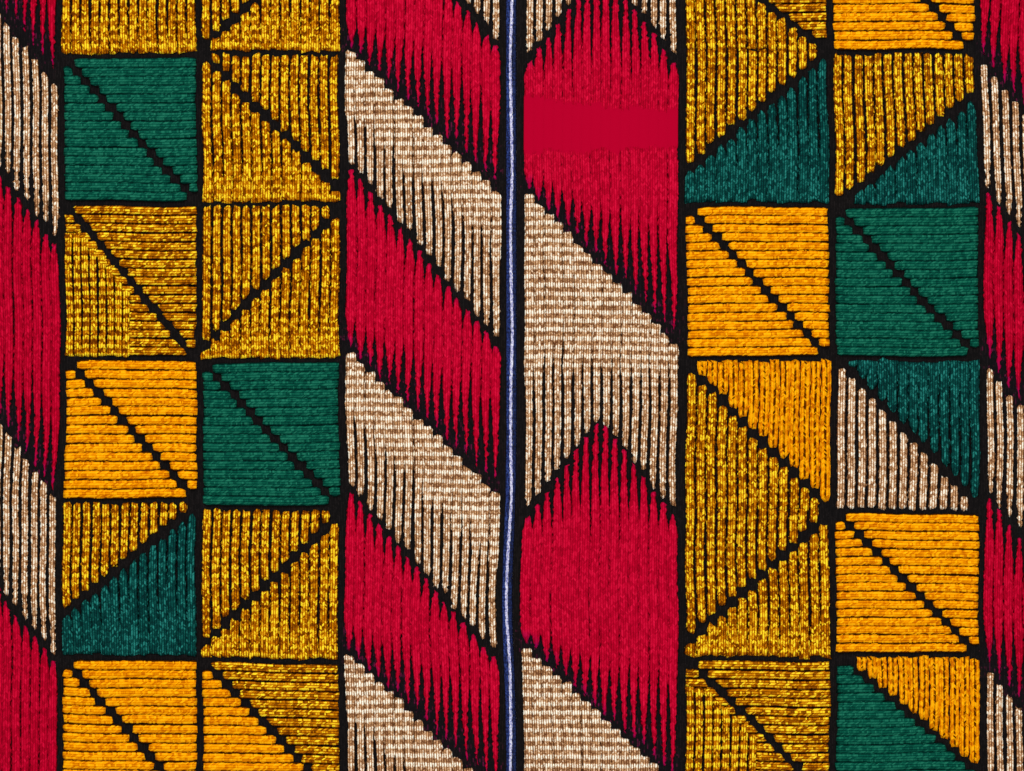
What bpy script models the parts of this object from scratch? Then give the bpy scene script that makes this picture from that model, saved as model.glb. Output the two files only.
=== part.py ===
"""A cut length of kente cloth: two woven strips lying side by side, and the yarn that joins them.

Sizes are in millimetres and become metres where a mesh is made. X runs across the strips, Y runs
along their warp and Z is up. The origin is under the middle of the cloth, on the join.
"""

import math

import bpy
import numpy as np
from mathutils import Vector
from mathutils.geometry import delaunay_2d_cdt

MM = 0.001

# The weave
ROWS = 8
ROW = 24.8  # usual length of one row of blocks along the warp
END = 1.8  # plain cloth past the last row, at each cut end
GROUND = 1.0  # height of the plain cloth
CREST = 1.5  # height of a rib
WEFT = 1.455  # spacing of the crosswise ribs
OUTLINE = 0.5  # from the middle of an outline to the end of a rib
HIP = 0.25  # from a rib's end to the side of its block
SHORTEST = 0.8  # a rib shorter than this is left out
EDGE_STEP = 6.2  # spacing of the points along a selvedge
HALF_PATTERN = ROWS * ROW / 2
HALF_LENGTH = HALF_PATTERN + END

# The join
JOIN = 0.75  # from the middle of the join to each strip's edge
YARN_RADIUS = 0.42
YARN_HEIGHT = 0.95
YARN_SHORT = 0.6  # how far the yarn stops short of each cut end

# How far the cloth is from a true grid
LEAN = -0.7  # sideways wander of the join at its furthest
LEAN_AT = -40.0
LEAN_LENGTH = 14.0
LEAN_REACH = 25.0  # how far from the join the wander dies away

# Columns of each strip from left to right: name, kind, width, warp ribs
COLUMNS = {
    "strip_left": (
        ("outer_selvedge", "plain", 1.0, 0),
        ("outer_left", "zigzag", 28.5, 17),
        ("bar_1", "plain", 0.8, 0),
        ("a", "blocks", 22.1, 14),
        ("bar_2", "plain", 0.8, 0),
        ("b", "blocks", 22.6, 14),
        ("bar_3", "plain", 0.8, 0),
        ("inner_left", "zigzag", 25.7, 16),
        ("inner_margin", "plain", 0.95, 0),
    ),
    "strip_right": (
        ("inner_margin", "plain", 1.05, 0),
        ("inner_right", "zigzag", 25.7, 16),
        ("bar_1", "plain", 1.0, 0),
        ("c", "blocks", 23.6, 14),
        ("bar_2", "plain", 0.9, 0),
        ("d", "blocks", 23.6, 14),
        ("bar_3", "plain", 0.8, 0),
        ("outer_right", "zigzag", 25.7, 16),
        ("outer_selvedge", "plain", 0.9, 0),
    ),
}

# Outlines between the bands of a zigzag column: height at its left side, height at its right side,
# rise of the peak in its middle. Each repeats along the warp by the column's period.
ZIGZAGS = {
    "outer_left": (65.6, ((80.7, 43.6, 0.0), (54.8, 17.8, 0.0))),
    "inner_left": (49.6, ((50.9, 27.0, 0.0), (32.1, 3.8, 0.0))),
    "inner_right": (74.4, ((27.8, 2.0, 0.0), (-26.4, -26.6, 16.4))),
    "outer_right": (49.6, ((49.0, 15.6, 0.0), (27.8, -7.3, 0.0))),
}

# Lines between the blocks of each column, from the top end down. The weaver counts the same number
# of picks for each block, but not every block comes out equally long.
ROW_LINES = {
    "a": (99.2, 74.4, 49.2, 25.0, -0.5, -23.9, -50.2, -74.6, -99.2),
    "b": (99.2, 74.4, 49.6, 24.9, -0.7, -24.9, -50.4, -74.8, -99.2),
    "c": (99.2, 74.4, 50.2, 24.9, -0.3, -24.9, -49.4, -74.2, -99.2),
    "d": (99.2, 74.4, 49.9, 24.85, -0.15, -25.2, -48.9, -73.9, -99.2),
}

# Blocks of each column from the top row down: the weave of the half above the diagonal outline, the
# diagonal, the weave of the half below. w is ribs along the warp, f is ribs along the weft. The
# diagonal is how far down the block it meets the left side and the right side, from 0 to 1.
FALL = (0.0, 1.0)
RISE = (1.0, 0.0)
BLOCKS = {
    "a": (
        ("f", FALL, "f"),
        ("w", None, "w"),
        ("f", FALL, "f"),
        ("f", FALL, "w"),
        ("f", FALL, "f"),
        ("w", (0.73, 0.03), "w"),
        ("f", FALL, "f"),
        ("f", FALL, "f"),
    ),
    "b": (
        ("f", FALL, "f"),
        ("w", (0.98, 0.12), "w"),
        ("w", (0.0, 0.91), "w"),
        ("w", (0.93, 0.03), "w"),
        ("f", FALL, "f"),
        ("w", (0.92, 0.04), "w"),
        ("f", FALL, "f"),
        ("w", (0.0, 0.91), "w"),
    ),
    "c": (
        ("w", (0.03, 1.0), "w"),
        ("f", (0.23, 1.0), "w"),
        ("w", (0.79, 0.0), "w"),
        ("f", FALL, "f"),
        ("w", (0.03, 1.0), "w"),
        ("w", (0.90, 0.03), "w"),
        ("f", (0.0, 0.92), "w"),
        ("w", (0.79, 0.0), "w"),
    ),
    "d": (
        ("w", (0.0, 0.97), "w"),
        ("f", FALL, "f"),
        ("w", (1.0, 0.27), "w"),
        ("f", FALL, "f"),
        ("w", (0.0, 0.97), "w"),
        ("f", FALL, "f"),
        ("w", (0.0, 0.80), "f"),
        ("w", RISE, "w"),
    ),
}

# Drop of the weft towards the right across a strip: height on the cloth, drop
WEFT_DROPS = {
    "strip_left": ((-74.4, 0.8), (-49.6, 1.5), (-24.8, 0.3), (0.0, 0.1), (99.2, 0.0)),
    "strip_right": ((-99.2, 0.0), (-24.8, 0.3), (0.0, 0.4), (49.6, 0.2), (99.2, 0.0)),
}

# Finishes: red, green, blue, roughness
FINISHES = {
    "strip_left": (0.42, 0.10, 0.05, 0.7),
    "strip_right": (0.48, 0.22, 0.03, 0.7),
    "joining_yarn": (0.72, 0.70, 0.88, 0.75),
}


class Relief:
    """Points with heights, and the lines between them that the surface has to follow."""

    def __init__(self):
        self.index = {}
        self.points = []
        self.edges = set()

    def point(self, x, y, z):
        key = (round(x, 3), round(y, 3))
        if key not in self.index:
            self.index[key] = len(self.points)
            self.points.append((x, y, z))
        return self.index[key]

    def line(self, points, z):
        """Joins the points in the order given, all at height z."""
        made = [self.point(x, y, z) for x, y in points]
        for first, second in zip(made, made[1:]):
            if first != second:
                self.edges.add((min(first, second), max(first, second)))


def rib_lines(start, width, count):
    """Where the grooves between a column's ribs lie, and where the crests of its ribs lie."""
    step = width / count
    grooves = [start + step * i for i in range(count + 1)]
    crests = [start + step * (i + 0.5) for i in range(count)]
    return grooves, crests


def band_outline(x, start, width, left, right, rise):
    """Height of a zigzag outline at x: a straight slope with a peak in the middle of the column."""
    across = (x - start) / width
    return left + (right - left) * across + rise * (1 - abs(2 * across - 1))


def add_zigzag(relief, start, width, count, period, outlines):
    """Warp ribs along a whole column, broken where an outline crosses them."""
    grooves, crests = rib_lines(start, width, count)
    copies = range(-math.ceil(4 * HALF_PATTERN / period), math.ceil(4 * HALF_PATTERN / period) + 1)
    shapes = [
        (left + period * copy, right + period * copy, rise)
        for left, right, rise in outlines
        for copy in copies
    ]

    def crossings(x, keep_off):
        heights = [band_outline(x, start, width, *shape) for shape in shapes]
        return sorted(y for y in heights if abs(y) < HALF_PATTERN - keep_off)

    for x in grooves:
        stops = [-HALF_PATTERN, *crossings(x, SHORTEST), HALF_PATTERN]
        relief.line([(x, y) for y in stops], GROUND)
    for shape in shapes:
        run = []
        for x in grooves:
            y = band_outline(x, start, width, *shape)
            if abs(y) < HALF_PATTERN - SHORTEST:
                run.append((x, y))
            else:
                relief.line(run, GROUND)
                run = []
        relief.line(run, GROUND)
    for x in crests:
        stops = [-HALF_PATTERN, *crossings(x, 0.0), HALF_PATTERN]
        for low, high in zip(stops, stops[1:]):
            if high - low - 2 * OUTLINE > SHORTEST:
                relief.line([(x, low + OUTLINE), (x, high - OUTLINE)], CREST)
    for end in (-HALF_PATTERN, HALF_PATTERN):
        relief.line([(x, end) for x in grooves], GROUND)


def add_half(relief, box, weave, above, diagonal, count):
    """Ribs of one half of a block. weave is w or f, and above says which side of the diagonal.
    Returns the ends of its grooves: those on the diagonal, and all those of weft grooves."""
    left, right, low, high = box

    def diagonal_y(x):
        across = (x - left) / (right - left)
        return high - (high - low) * (diagonal[0] + (diagonal[1] - diagonal[0]) * across)

    def diagonal_x(y):
        down = (high - y) / (high - low)
        across = (down - diagonal[0]) / (diagonal[1] - diagonal[0])
        return left + (right - left) * min(max(across, 0.0), 1.0)

    if weave == "w":
        grooves, crests = rib_lines(left, right - left, count)
        spans = {x: (low, high) for x in (*grooves, *crests)}
        if diagonal:
            spans = {x: (diagonal_y(x), high) if above else (low, diagonal_y(x)) for x in spans}
        for x in grooves:
            relief.line([(x, y) for y in spans[x]], GROUND)
        for x in crests:
            bottom, top = spans[x]
            if top - bottom - 2 * OUTLINE > SHORTEST:
                relief.line([(x, bottom + OUTLINE), (x, top - OUTLINE)], CREST)
        return {(x, diagonal_y(x)) for x in grooves} if diagonal else set(), set()
    grooves, crests = rib_lines(low, high - low, round((high - low - 2 * OUTLINE) / WEFT))
    to_right = above == (diagonal[0] < diagonal[1])
    corners, ends = set(), set()
    for y in grooves:
        near = diagonal_x(y)
        span = (near, right) if to_right else (left, near)
        relief.line([(x, y) for x in span], GROUND)
        ends |= {(x, y) for x in span}
        if left < near < right:
            corners.add((near, y))
    for y in crests:
        near = diagonal_x(y)
        meets = left < near < right
        first = near + OUTLINE if to_right and meets else left + HIP
        last = near - OUTLINE if not to_right and meets else right - HIP
        if (near < right if to_right else near > left) and last - first > SHORTEST:
            relief.line([(first, y), (last, y)], CREST)
    return corners | {(x, diagonal_y(x)) for x in (left, right)}, ends


def add_blocks(relief, start, width, count, column):
    """A column of blocks, each split by its diagonal into two halves."""
    lines = ROW_LINES[column]
    sides = [start, start + width]
    places = [start + width * i / count for i in range(count + 1)]
    row_ends = [set() for _ in lines]
    side_ends = {x: set(lines) for x in sides}
    for row, (upper, diagonal, lower) in enumerate(BLOCKS[column]):
        box = (*sides, lines[row + 1], lines[row])
        corners, ends = add_half(relief, box, upper, True, diagonal, count)
        if diagonal:
            more_corners, more_ends = add_half(relief, box, lower, False, diagonal, count)
            corners |= more_corners
            ends |= more_ends
        relief.line(sorted(corners), GROUND)
        row_ends[row] |= set(places if upper == "w" else sides)
        row_ends[row + 1] |= set(places if lower == "w" else sides)
        for x, y in corners | ends:
            if x in side_ends:
                side_ends[x].add(y)
            if y in lines:
                row_ends[lines.index(y)].add(x)
    for y, ends in zip(lines, row_ends):
        relief.line([(x, y) for x in sorted(ends)], GROUND)
    for x, heights in side_ends.items():
        relief.line([(x, y) for y in sorted(heights)], GROUND)


def outline_of(left, right):
    """The strip's rectangle as a loop of points, anticlockwise, with points along both selvedges."""
    count = round(2 * HALF_LENGTH / EDGE_STEP)
    heights = np.linspace(-HALF_LENGTH, HALF_LENGTH, count + 1)
    return [(right, y) for y in heights] + [(left, y) for y in heights[::-1]]


def strip_width(name):
    return sum(width for _, _, width, _ in COLUMNS[name])


def away_from_ends(y):
    """1 over most of the length, falling to 0 at the cut ends, which stay square."""
    return np.clip((HALF_LENGTH - np.abs(y)) / ROW, 0.0, 1.0)


def lean_at(x, y):
    """Sideways wander of the join, which its neighbours follow less the further off they are."""
    along = np.exp(-(((y - LEAN_AT) / LEAN_LENGTH) ** 2))
    return LEAN * along * np.exp(-np.abs(x) / LEAN_REACH) * away_from_ends(y)


def drop_at(name, x, y):
    """How far the weft has dropped at x, in proportion to the distance from the join."""
    heights, drops = zip(*WEFT_DROPS[name])
    from_join = (x - math.copysign(JOIN, x.mean())) / strip_width(name)
    return np.interp(y, heights, drops) * from_join * away_from_ends(y)


def new_object(name, mesh_or_curve):
    made = bpy.data.objects.new(name, mesh_or_curve)
    bpy.context.collection.objects.link(made)
    red, green, blue, roughness = FINISHES[name]
    material = bpy.data.materials.new(name)
    material.use_nodes = True
    shader = material.node_tree.nodes["Principled BSDF"]
    shader.inputs["Base Color"].default_value = (red, green, blue, 1.0)
    shader.inputs["Roughness"].default_value = roughness
    shader.inputs["Metallic"].default_value = 0.0
    mesh_or_curve.materials.append(material)
    return made


def flat_triangles(points, edges):
    """Triangles between flat points, with the edges among their sides."""
    flat = [Vector((x, y)) for x, y in points]
    found = delaunay_2d_cdt(flat, edges, [], 0, 1e-6)
    places, faces, sources = found[0], found[2], found[3]
    if len(places) != len(points):
        raise ValueError(f"{len(points)} points became {len(places)}: two lines cross")
    source = [ids[0] for ids in sources]
    return [tuple(source[corner] for corner in face) for face in faces]


def make_strip(name, left):
    relief = Relief()
    loop = outline_of(left, left + strip_width(name))
    relief.line([*loop, loop[0]], GROUND)
    start = left
    for column, kind, width, count in COLUMNS[name]:
        if kind == "zigzag":
            period, outlines = ZIGZAGS[column]
            add_zigzag(relief, start, width, count, period, outlines)
        elif kind == "blocks":
            add_blocks(relief, start, width, count, column)
        start += width
    top = flat_triangles([point[:2] for point in relief.points], sorted(relief.edges))
    count = len(loop)
    ring = [(i, (i + 1) % count) for i in range(count)]
    under = len(relief.points)
    bottom = [tuple(under + c for c in face[::-1]) for face in flat_triangles(loop, ring)]
    walls = [(a + under, b + under, b, a) for a, b in ring]
    points = np.array(relief.points + [(x, y, 0.0) for x, y in loop])
    x, y = points[:, 0].copy(), points[:, 1].copy()
    points[:, 0] += lean_at(x, y)
    points[:, 1] -= drop_at(name, x, y)
    mesh = bpy.data.meshes.new(name)
    mesh.from_pydata((points * MM).tolist(), [], top + bottom + walls)
    mesh.update()
    return new_object(name, mesh)


def make_yarn():
    reach = HALF_LENGTH - YARN_SHORT
    y = np.linspace(-reach, reach, round(2 * reach / EDGE_STEP) + 1)
    x = lean_at(np.zeros_like(y), y)
    curve = bpy.data.curves.new("joining_yarn", "CURVE")
    curve.dimensions = "3D"
    curve.bevel_depth = YARN_RADIUS * MM
    curve.bevel_resolution = 2
    curve.use_fill_caps = True
    spline = curve.splines.new("POLY")
    spline.points.add(len(y) - 1)
    for point, across, along in zip(spline.points, x, y):
        point.co = (across * MM, along * MM, YARN_HEIGHT * MM, 1.0)
    return new_object("joining_yarn", curve)


def clear_scene():
    for found in list(bpy.data.objects):
        bpy.data.objects.remove(found, do_unlink=True)


clear_scene()
make_strip("strip_left", -JOIN - strip_width("strip_left"))
make_strip("strip_right", JOIN)
make_yarn()
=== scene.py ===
"""Looks of a cut length of kente cloth: float ribs on a black ground, blue selvedges, joining yarn.

Sizes are in millimetres and become metres where a mesh is made. The pattern is worked out from the
tables below on a true grid, as the weaver counts it, and on_cloth() then moves it to where the
woven cloth really lies.
"""

import math
from collections import namedtuple

import bpy
import numpy as np
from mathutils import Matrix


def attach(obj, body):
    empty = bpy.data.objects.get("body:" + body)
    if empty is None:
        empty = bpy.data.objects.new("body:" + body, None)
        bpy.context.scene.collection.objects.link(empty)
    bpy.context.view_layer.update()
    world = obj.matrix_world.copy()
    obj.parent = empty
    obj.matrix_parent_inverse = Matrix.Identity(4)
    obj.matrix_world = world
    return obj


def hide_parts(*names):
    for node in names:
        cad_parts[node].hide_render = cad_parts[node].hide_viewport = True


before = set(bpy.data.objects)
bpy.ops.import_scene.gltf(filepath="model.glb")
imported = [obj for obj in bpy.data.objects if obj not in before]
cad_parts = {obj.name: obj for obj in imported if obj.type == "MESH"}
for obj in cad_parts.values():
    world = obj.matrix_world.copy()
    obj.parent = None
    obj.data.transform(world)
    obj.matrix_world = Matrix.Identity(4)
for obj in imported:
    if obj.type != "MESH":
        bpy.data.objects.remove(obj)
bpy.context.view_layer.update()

MM = 0.001

# The weave, as in the solids
ROWS = 8
ROW = 24.8  # usual length of one row of blocks
END = 1.8  # plain cloth at each cut end
GROUND = 1.0  # top of the ground cloth
CREST = 1.5  # top of a float rib
HALF_PATTERN = ROWS * ROW / 2
HALF_LENGTH = HALF_PATTERN + END
JOIN = 0.75  # from the middle of the join to a strip's edge
# A cord's half width and half height, its sides, the length of one face along it, and how deep and
# how far apart along it the grooves between its plies are
Cord = namedtuple("Cord", "wide high sides step depth pitch")
YARN = Cord(0.36, 0.34, 16, 0.16, 0.30, 3.2)
YARN_HEIGHT = 0.95
CORD_SHORT = 0.6  # how far a cord stops short of the cut ends

# Finer sizes that only show here
UNDER = 0.3  # underside of the ground cloth, above the floats of the back
SUNK = 0.05  # how deep a float's flat side lies in the ground
TALLEST = 0.55  # height of a float where a weft row lifts it
LOWEST = 0.02  # where the floats of the back end above the floor
ROW_GAP = 0.45  # from a row's outline to the ends of its ribs
INSET = 0.18  # from a column's side to the ends of its weft ribs
SHORTEST = 0.9  # there is no shorter rib
FEWEST_RINGS = 4  # a rib has at least this many rings of points
SHEAR = 0.6  # how far the dashes of a weft rib lean, for each millimetre across it
THREADS = 7  # threads set apart for each rib in the weave's own coordinates
WARP_THREAD = 0.40  # width of one thread of a rib along the warp
WEFT_THREAD = 0.42  # width of one thread of a rib along the weft
GROUND_THREAD = 0.27
CORD_THREAD = 0.2
WEFT = 1.455  # spacing of the weft
STEP = WEFT / 4  # length of one face along a rib
SMOOTH_STEP = 0.6
BACK_STEP = 2.4
GROUND_STEP = 2.0
RAGGED = 0.20  # unevenness across a rib's end
FRAYED = 0.07  # unevenness of rib sides
WEFT_CALM = 0.5  # share of both on a weft rib
NARROW = 0.66  # a rib narrower than this share of the pitch frays more
FRAYS_MORE = 0.8  # by this share
WOBBLE = 0.02  # slow changes of a rib's width, as a share of it
WOBBLE_LENGTHS = (0.9, 0.37)
SWAY = 0.04  # how far a rib strays sideways
SWAY_LENGTH = 2.6
END_RISE = 0.45  # height of a rib's very end, as a share of its full height
END_ROUND = 0.55  # how far from its end a rib has its full height
FULL_HEIGHT_AT = 0.7  # a rib narrower than this share of the pitch is lower too
LEAST_HEIGHT = 0.3  # but keeps this share of its height
ROW_RISE = 0.045  # how much a weft row lifts a rib
PACKED = 0.9  # ribs wider than this share of the pitch hide their rows where they narrow:
ROWS_LEAST_AT = 0.76  # at this width, and where narrower, the rows are weakest
ROWS_RETURN = 0.16  # wider by this, they are as strong as elsewhere
ROWS_LEFT = 0.35  # their strength where they are weakest, as a share
STAGGER = 0.02  # flat ribs lie higher by this on every other place
ZIGZAG_UNEVEN = (0.14, 0.3)  # unevenness of the upper and of the lower ends in a zigzag column
ZIGZAG_SLANTS = (0.2, 0.08)  # share of its line's slope that a lower and an upper end takes
ZIGZAG_TAPERS = ((0.8, 1.15), (0.8, 1.2))  # range in length of the lower and of the upper tapers
OUTLINE_UNEVEN = 0.08  # unevenness of the ends along a block's outline
DIAGONAL_UNEVEN = 0.12  # unevenness of the ends along a diagonal
WARP_SLANTS = (-1.0, 3.0)  # range of the slants of the ends there, as shares of the usual slant
WEFT_SLANTS = (-0.5, 2.5)
INSET_UNEVEN = 0.05
BELOW_WIDER = 1.06  # warp ribs below a diagonal are wider than those above it by this factor
COPIES = 6  # repeats of a zigzag band that are tried to either side
GRID_CORNER = 5.2  # how far down a half woven both ways has weft ribs alone
GRID_COUNT = 16  # warp ribs across such a block
GRID_SHARE = 0.5  # share of the block that its warp ribs reach across
GRID_EDGE = 1.6  # length of the weft ribs along the diagonal
GRID_STOP = 0.7  # how far the warp ribs stop short of there
GRID_LAPS = (0.3, 0.2)  # how far the weft ribs and the warp ribs reach into each other's part
SELVEDGE = Cord(0.34, 0.27, 10, 0.5, 0.0, 1.0)
SELVEDGE_IN = 0.48  # its middle, from the join's middle
ASIDE = -0.1  # how far the yarn and the two cords beside it lie off the join's middle
# Stretch of the red column beside the join where the floats lie like satin: its lower and its upper
# end, each at the column's left and right side
SATIN = ((33.2, 34.1), (42.4, 40.2))
SATIN_UNEVEN = 0.3
SATIN_WIDTH = 1.16  # width of a rib there, as a share of the pitch
# Violet at the tips of the red ribs: its strength and reach at an upper tip, and how far above a
# band's lower line the ground has it most and how far it spreads from there
UPPER_WORN = (0.4, 1.2)
VIOLET_ABOVE = 1.5
VIOLET_REACH = 2.8

# How far the cloth is from a true grid: sideways leans, the first of which the join and the solids
# have too, and the drop of the weft towards the right across a strip, by height
Lean = namedtuple("Lean", "amount x reach y length")
LEANS = (
    Lean(-0.7, 0.0, 25.0, -40.0, 14.0),
    Lean(0.6, -74.0, 14.0, 8.0, 28.0),
    Lean(-0.8, 77.0, 38.0, 48.0, 20.0),
)
WEFT_DROPS = {
    "left": ((-74.4, 0.8), (-49.6, 1.5), (-24.8, 0.3), (0.0, 0.1), (99.2, 0.0)),
    "right": ((-99.2, 0.0), (-24.8, 0.3), (0.0, 0.4), (49.6, 0.2), (99.2, 0.0)),
}
# Slow waves of the weave in mm: size, a radian's length, and how far off across it a radian's turn is
WAVES_ASIDE = ((0.12, 7.3, 21.0), (0.07, 2.9, -13.0))
WAVES_ALONG = ((0.12, 6.1, 17.0), (0.05, 2.3, -19.0))

# Columns of each strip from left to right: name, kind, width, warp ribs
COLUMNS = {
    "left": (
        ("outer_selvedge", "plain", 1.0, 0),
        ("outer_left", "zigzag", 28.5, 19),
        ("bar_1", "plain", 0.8, 0),
        ("a", "blocks", 22.1, 14),
        ("bar_2", "plain", 0.8, 0),
        ("b", "blocks", 22.6, 14),
        ("bar_3", "plain", 1.05, 0),
        ("inner_left", "zigzag", 25.3, 16),
        ("inner_margin", "plain", 1.1, 0),
    ),
    "right": (
        ("inner_margin", "plain", 1.35, 0),
        ("inner_right", "zigzag", 25.15, 16),
        ("bar_1", "plain", 1.25, 0),
        ("c", "blocks", 23.6, 14),
        ("bar_2", "plain", 0.9, 0),
        ("d", "blocks", 23.6, 14),
        ("bar_3", "plain", 0.8, 0),
        ("outer_right", "zigzag", 25.7, 16),
        ("outer_selvedge", "plain", 0.9, 0),
    ),
}

# Bands of a zigzag column. A line is its height at the left side, at the right side, and the rise
# of a peak in the middle. The ribs run from upper to lower, at their full width from upper_full to
# lower_full. full is their width as a share of the pitch, rows the strength of the rows, tone how much
# lighter or darker their colour is made, worn how far the violet of their lower tips reaches, and
# first and last the shapes of their lower and upper tapers.
Band = namedtuple("Band", "upper upper_full lower_full lower full rows tone worn first last")
ZIGZAGS = {
    "outer_left": (68.9, {
        "cream": Band(
            (81.3, 44.2, 0.0), (80.6, 43.6, 0.0), (59.9, 22.9, 0.0), (55.6, 18.5, 0.0),
            0.72, 0.30, 0.0, 0.0, "comb", "blunt",
        ),
        "red": Band(
            (54.0, 16.9, 0.0), (49.5, 13.4, 0.0), (22.0, -7.5, 0.0), (14.4, -22.7, 0.0),
            1.04, 0.0, -5.0, 4.0, "point", "flame",
        ),
    }),
    "inner_left": (49.6, {
        "cream": Band(
            (50.6, 26.4, 0.0), (50.3, 26.1, 0.0), (42.5, 18.0, 0.0), (31.0, 1.6, 0.0),
            1.12, 1.0, 0.0, 0.0, "comb", "blunt",
        ),
        "red": Band(
            (29.9, 0.1, 0.0), (23.6, -2.2, 0.0), (6.6, -2.6, 0.0), (1.8, -21.1, 0.0),
            1.09, 0.0, 0.0, 2.4, "point", "flame",
        ),
    }),
    "inner_right": (74.4, {
        "cream": Band(
            (27.3, 1.4, 0.0), (27.0, 1.1, 0.0), (1.5, 0.0, 0.0), (-25.4, -25.9, 15.8),
            1.12, 1.0, 0.0, 0.0, "comb", "blunt",
        ),
        "red": Band(
            (-27.4, -27.4, 17.1), (-28.8, -28.8, 0.0), (-44.2, -50.4, 0.0), (-46.3, -70.2, 0.0),
            1.14, 0.0, 0.0, 2.4, "point", "flame",
        ),
    }),
    "outer_right": (49.6, {
        "cream": Band(
            (48.8, 16.5, 0.0), (48.3, 16.0, 0.0), (32.9, -1.1, 0.0), (28.9, -5.1, 0.0),
            0.70, 0.35, 0.0, 0.0, "comb", "blunt",
        ),
        "red": Band(
            (27.7, -7.2, 0.0), (19.4, -12.6, 0.0), (9.6, -13.6, 0.0), (0.9, -31.3, 0.0),
            1.04, 0.0, -4.0, 4.0, "point", "flame",
        ),
    }),
}
# Lines that lie off the even repeat, by colour, line and copy of the band: how far at the left side
# and at the right side
UNEVEN = {
    ("outer_left", "cream", "upper", 0): (-0.8, -0.8),
    ("outer_left", "cream", "upper", -1): (0.8, 0.8),
    ("inner_left", "cream", "lower", 0): (1.7, 0.9),
    ("inner_left", "cream", "lower", -1): (-1.9, -1.0),
    ("inner_left", "red", "upper", 0): (1.7, 0.8),
    ("inner_left", "red", "upper", -1): (-1.8, -0.8),
    ("inner_right", "cream", "upper", -1): (0.0, 2.5),
    ("inner_right", "red", "lower", 0): (0.2, 1.2),
}

# Lines between the blocks of each column, as in the solids
ROW_LINES = {
    "a": (99.2, 74.4, 49.2, 25.0, -0.5, -23.9, -50.2, -74.6, -99.2),
    "b": (99.2, 74.4, 49.6, 24.9, -0.7, -24.9, -50.4, -74.8, -99.2),
    "c": (99.2, 74.4, 50.2, 24.9, -0.3, -24.9, -49.4, -74.2, -99.2),
    "d": (99.2, 74.4, 49.9, 24.85, -0.15, -25.2, -48.9, -73.9, -99.2),
}

# Blocks of each column from the top row down: the half above the diagonal, how far down the block
# the diagonal meets its left and its right side, the half below. w is ribs along the warp, f along
# the weft, g along both.
FALL = (0.0, 1.0)
RISE = (1.0, 0.0)
BLOCKS = {
    "a": (
        ("yellow f", FALL, "yellow f"),
        ("gold w", None, "gold w"),
        ("green f", FALL, "green f"),
        ("gold f", FALL, "gold g"),
        ("yellow f", FALL, "yellow f"),
        ("gold w", (0.73, 0.03), "teal w"),
        ("yellow f", FALL, "yellow f"),
        ("green f", FALL, "green f"),
    ),
    "b": (
        ("green f", FALL, "green f"),
        ("gold w", (0.98, 0.12), "gold w"),
        ("gold w", (0.0, 0.91), "gold w"),
        ("gold w", (0.93, 0.03), "gold w"),
        ("green f", FALL, "green f"),
        ("gold w", (0.92, 0.04), "gold w"),
        ("gold f", (0.0, 0.93), "yellow f"),
        ("gold w", (0.0, 0.91), "gold w"),
    ),
    "c": (
        ("yellow w", (0.03, 1.0), "gold w"),
        ("gold f", (0.23, 1.0), "gold w"),
        ("gold w", (0.79, 0.0), "teal w"),
        ("yellow f", FALL, "yellow f"),
        ("yellow w", (0.03, 1.0), "gold w"),
        ("gold w", (0.90, 0.03), "gold w"),
        ("gold f", (0.0, 0.92), "gold g"),
        ("gold w", (0.79, 0.0), "teal w"),
    ),
    "d": (
        ("teal w", (0.0, 0.97), "cream w"),
        ("yellow f", FALL, "yellow f"),
        ("gold w", (1.0, 0.27), "teal w"),
        ("green f", FALL, "green f"),
        ("teal w", (0.0, 0.97), "cream w"),
        ("yellow f", FALL, "yellow f"),
        ("yellow w", (-0.02, 0.78), "green f"),
        ("gold w", RISE, "teal w"),
    ),
}
# Rows of column c with no outline under them, where gold runs on into the next row
OPEN_BELOW = {("c", 1), ("c", 4)}

# How a rib's width changes from its end, at 0, to the end of its taper, at 1
SHAPES = {
    "point": ((0.0, 0.12), (0.15, 0.26), (0.5, 0.60), (0.8, 0.90), (1.0, 1.0)),
    "flame": ((0.0, 0.34), (0.2, 0.46), (0.55, 0.76), (1.0, 1.0)),
    "comb": ((0.0, 0.40), (0.05, 0.54), (0.14, 0.64), (0.80, 0.70), (1.0, 1.0)),
    "blunt": ((0.0, 0.74), (0.4, 0.92), (1.0, 1.0)),
    "round": ((0.0, 0.82), (0.4, 0.95), (1.0, 1.0)),
    "spread": ((0.0, 1.28), (0.4, 1.20), (1.0, 1.0)),
    "even": ((0.0, 1.0), (1.0, 1.0)),
}

# Ribs of a half block: width as a share of the pitch, then the taper's shape and length at an upper
# outline, at a lower outline and at the diagonal, the gap from the diagonal's middle to the rib's
# end, how much of the diagonal's slope the rib's end takes, how flat the rib is, the strength of the
# rows, and whether a painted shade runs along the rib's middle like that of a groove.
Style = namedtuple("Style", "full top bottom tip gap slant level rows split", defaults=(0.0, 0.0, False))
STYLES = {
    "gold w": Style(0.86, ("blunt", 0.4), ("spread", 7.0), ("blunt", 0.5), 0.95, 0.06, 0.0, 0.6),
    "gold f": Style(0.96, ("even", 1.0), ("even", 1.0), ("blunt", 0.3), 0.80, 0.25),
    "yellow w": Style(0.98, ("even", 1.0), ("even", 1.0), ("blunt", 0.8), 0.85, 0.10, 0.0, 1.0, True),
    "yellow f": Style(1.10, ("round", 0.4), ("round", 0.4), ("blunt", 0.3), 0.84, 0.08, 0.5),
    "green f": Style(1.14, ("round", 0.4), ("round", 0.4), ("blunt", 0.3), 0.84, 0.08, 0.6),
    "teal w": Style(0.85, ("spread", 14.0), ("spread", 14.0), ("flame", 0.9), 0.95, 0.08),
    "cream w": Style(0.74, ("blunt", 0.3), ("blunt", 0.3), ("blunt", 0.4), 0.90, 0.06, 0.0, 0.3),
}
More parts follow.
